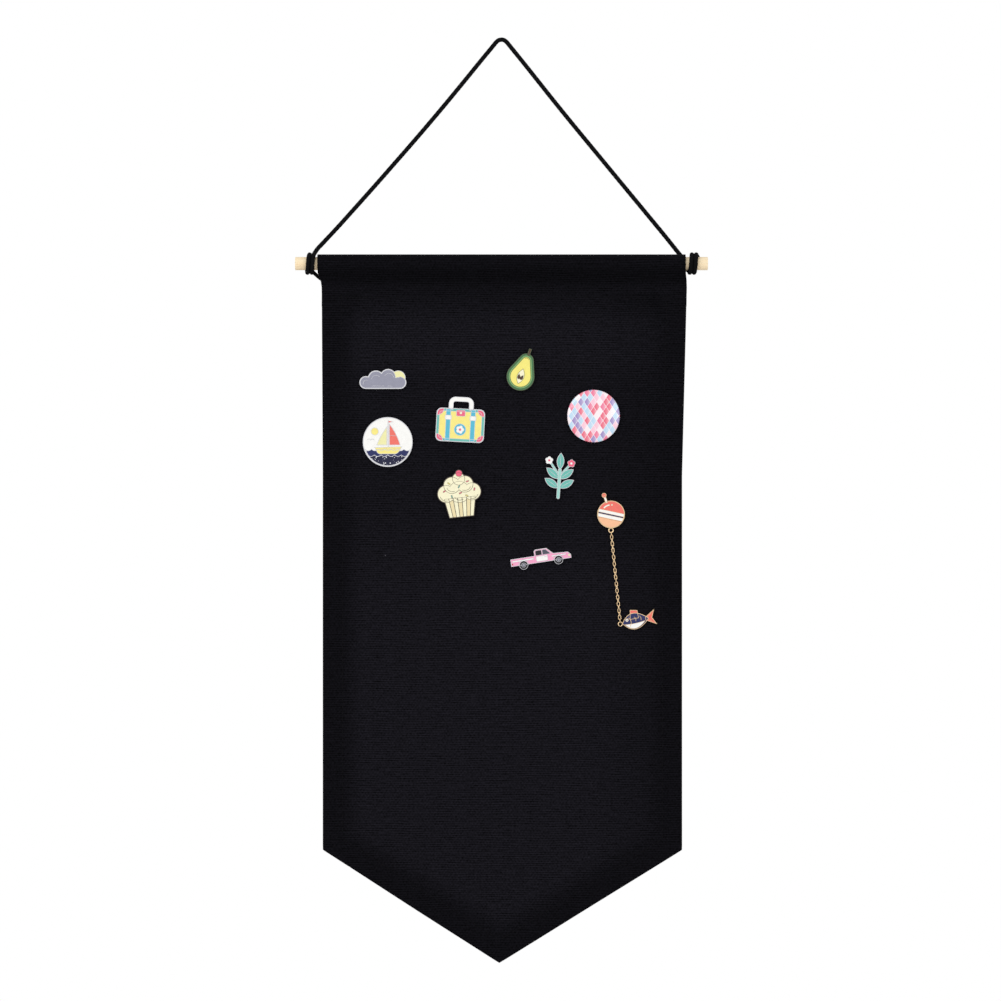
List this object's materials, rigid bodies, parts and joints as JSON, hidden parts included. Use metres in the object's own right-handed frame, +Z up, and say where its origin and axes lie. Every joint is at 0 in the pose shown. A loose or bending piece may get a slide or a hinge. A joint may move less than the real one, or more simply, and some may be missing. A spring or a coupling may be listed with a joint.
{
  "type": "pin display banner",
  "caption": "Pointed canvas pennant with a sleeve on a wooden dowel and a tied hanging cord, for showing enamel badges held by clutches, one with a chain and charm.",
  "frame": {"origin": "the hang point: the underside of the cord's bend, where it rests on a nail or hook", "axes": "+Z up, +X to the right of someone facing the badges, and the front of the banner faces -Y"},
  "size_m": [0.2036, 0.0135, 0.4569],
  "materials": {
    "canvas": "matt black cotton canvas, plain ribbed weave",
    "dowel_wood": "sanded bare birch, plain sawn ends",
    "cord": "matt black twisted cotton cord",
    "clutch_brass": "bright pressed sheet",
    "gilt_plating": "bright gilt plating",
    "grey_enamel": "glossy enamel in a plated metal rim",
    "white_enamel": "glossy enamel in a plated metal rim",
    "yellow_enamel": "glossy enamel in a plated metal rim",
    "cream_enamel": "glossy enamel in a plated metal rim",
    "green_enamel": "glossy enamel in a plated metal rim",
    "pink_enamel": "glossy enamel in a plated metal rim",
    "teal_enamel": "glossy enamel in a plated metal rim",
    "rose_enamel": "glossy enamel in a plated metal rim",
    "coral_enamel": "glossy enamel in a plated metal rim",
    "navy_enamel": "glossy enamel in a plated metal rim"
  },
  "bodies": {
    "hanger": {"dowel": "dowel_wood", "hanging_cord": "cord", "left_cord_winding": "cord", "right_cord_winding": "cord", "left_cord_knot": "cord", "right_cord_knot": "cord", "left_cord_tail": "cord", "right_cord_tail": "cord"},
    "banner": {"canvas_sleeve": "canvas", "canvas_panel": "canvas"},
    "cloud": {"cloud_badge": "grey_enamel"},
    "cloud_clutch": {"cloud_clutch": "clutch_brass"},
    "boat": {"boat_badge": "white_enamel"},
    "boat_clutch": {"boat_clutch": "clutch_brass"},
    "suitcase": {"suitcase_badge": "yellow_enamel"},
    "suitcase_clutch": {"suitcase_clutch": "clutch_brass"},
    "cupcake": {"cupcake_badge": "cream_enamel"},
    "cupcake_clutch": {"cupcake_clutch": "clutch_brass"},
    "pear": {"pear_badge": "green_enamel"},
    "pear_clutch": {"pear_clutch": "clutch_brass"},
    "harlequin": {"harlequin_badge": "pink_enamel"},
    "harlequin_clutch": {"harlequin_clutch": "clutch_brass"},
    "sprig": {"sprig_badge": "teal_enamel"},
    "sprig_clutch": {"sprig_clutch": "clutch_brass"},
    "truck": {"truck_badge": "rose_enamel"},
    "truck_clutch": {"truck_clutch": "clutch_brass"},
    "float": {"float_badge": "coral_enamel"},
    "float_clutch": {"float_clutch": "clutch_brass"},
    "chain_upper": {"chain_link_01": "gilt_plating", "chain_link_02": "gilt_plating", "chain_link_03": "gilt_plating", "chain_link_04": "gilt_plating", "chain_link_05": "gilt_plating", "chain_link_06": "gilt_plating", "chain_link_07": "gilt_plating", "chain_link_08": "gilt_plating", "chain_link_09": "gilt_plating", "chain_link_10": "gilt_plating", "chain_link_11": "gilt_plating", "chain_link_12": "gilt_plating", "chain_link_13": "gilt_plating"},
    "chain_lower": {"chain_link_14": "gilt_plating", "chain_link_15": "gilt_plating", "chain_link_16": "gilt_plating", "chain_link_17": "gilt_plating", "chain_link_18": "gilt_plating", "chain_link_19": "gilt_plating", "chain_link_20": "gilt_plating", "chain_link_21": "gilt_plating", "chain_link_22": "gilt_plating", "chain_link_23": "gilt_plating", "chain_link_24": "gilt_plating", "chain_link_25": "gilt_plating", "chain_link_26": "gilt_plating", "chain_link_27": "gilt_plating"},
    "charm": {"fish_charm": "navy_enamel"}
  },
  "joints": [
    {"name": "banner_swing", "type": "hinge", "parent": "hanger", "child": "banner", "pos_m": [0, 0, -0.10965], "axis": [-1, 0, 0], "range_deg": [0, 100]},
    {"name": "cloud_spin", "type": "hinge", "parent": "banner", "child": "cloud", "pos_m": [-0.0585, 0, -0.16665], "axis": [0, 1, 0], "continuous": true},
    {"name": "boat_spin", "type": "hinge", "parent": "banner", "child": "boat", "pos_m": [-0.0561, 0, -0.19775], "axis": [0, 1, 0], "continuous": true},
    {"name": "suitcase_spin", "type": "hinge", "parent": "banner", "child": "suitcase", "pos_m": [-0.0202, 0, -0.18665], "axis": [0, 1, 0], "continuous": true},
    {"name": "cupcake_spin", "type": "hinge", "parent": "banner", "child": "cupcake", "pos_m": [-0.0208, 0, -0.22315], "axis": [0, 1, 0], "continuous": true},
    {"name": "pear_spin", "type": "hinge", "parent": "banner", "child": "pear", "pos_m": [0.0106, 0, -0.16215], "axis": [0, 1, 0], "continuous": true},
    {"name": "harlequin_spin", "type": "hinge", "parent": "banner", "child": "harlequin", "pos_m": [0.0454, 0, -0.18495], "axis": [0, 1, 0], "continuous": true},
    {"name": "sprig_spin", "type": "hinge", "parent": "banner", "child": "sprig", "pos_m": [0.0286, 0, -0.21455], "axis": [0, 1, 0], "continuous": true},
    {"name": "truck_spin", "type": "hinge", "parent": "banner", "child": "truck", "pos_m": [0.0193, 0, -0.25465], "axis": [0, 1, 0], "continuous": true},
    {"name": "float_spin", "type": "hinge", "parent": "banner", "child": "float", "pos_m": [0.054, 0, -0.23345], "axis": [0, 1, 0], "range_deg": [-15, 15]},
    {"name": "cloud_clutch_slide", "type": "slide", "parent": "cloud", "child": "cloud_clutch", "axis": [0, 1, 0], "range_m": [0, 0.007]},
    {"name": "boat_clutch_slide", "type": "slide", "parent": "boat", "child": "boat_clutch", "axis": [0, 1, 0], "range_m": [0, 0.007]},
    {"name": "suitcase_clutch_slide", "type": "slide", "parent": "suitcase", "child": "suitcase_clutch", "axis": [0, 1, 0], "range_m": [0, 0.007]},
    {"name": "cupcake_clutch_slide", "type": "slide", "parent": "cupcake", "child": "cupcake_clutch", "axis": [0, 1, 0], "range_m": [0, 0.007]},
    {"name": "pear_clutch_slide", "type": "slide", "parent": "pear", "child": "pear_clutch", "axis": [0, 1, 0], "range_m": [0, 0.007]},
    {"name": "harlequin_clutch_slide", "type": "slide", "parent": "harlequin", "child": "harlequin_clutch", "axis": [0, 1, 0], "range_m": [0, 0.007]},
    {"name": "sprig_clutch_slide", "type": "slide", "parent": "sprig", "child": "sprig_clutch", "axis": [0, 1, 0], "range_m": [0, 0.007]},
    {"name": "truck_clutch_slide", "type": "slide", "parent": "truck", "child": "truck_clutch", "axis": [0, 1, 0], "range_m": [0, 0.007]},
    {"name": "float_clutch_slide", "type": "slide", "parent": "float", "child": "float_clutch", "axis": [0, 1, 0], "range_m": [0, 0.007]},
    {"name": "chain_swing", "type": "hinge", "parent": "float", "child": "chain_upper", "pos_m": [0.054, -0.0016, -0.24135], "axis": [0, 1, 0], "range_deg": [-60, 20]},
    {"name": "chain_bend", "type": "hinge", "parent": "chain_upper", "child": "chain_lower", "pos_m": [0.05625, -0.0016, -0.2639], "axis": [0, 1, 0], "range_deg": [-20, 20]},
    {"name": "charm_swing", "type": "hinge", "parent": "chain_lower", "child": "charm", "pos_m": [0.05856, -0.0016, -0.28703], "axis": [0, 1, 0], "range_deg": [-20, 110]}
  ]
}
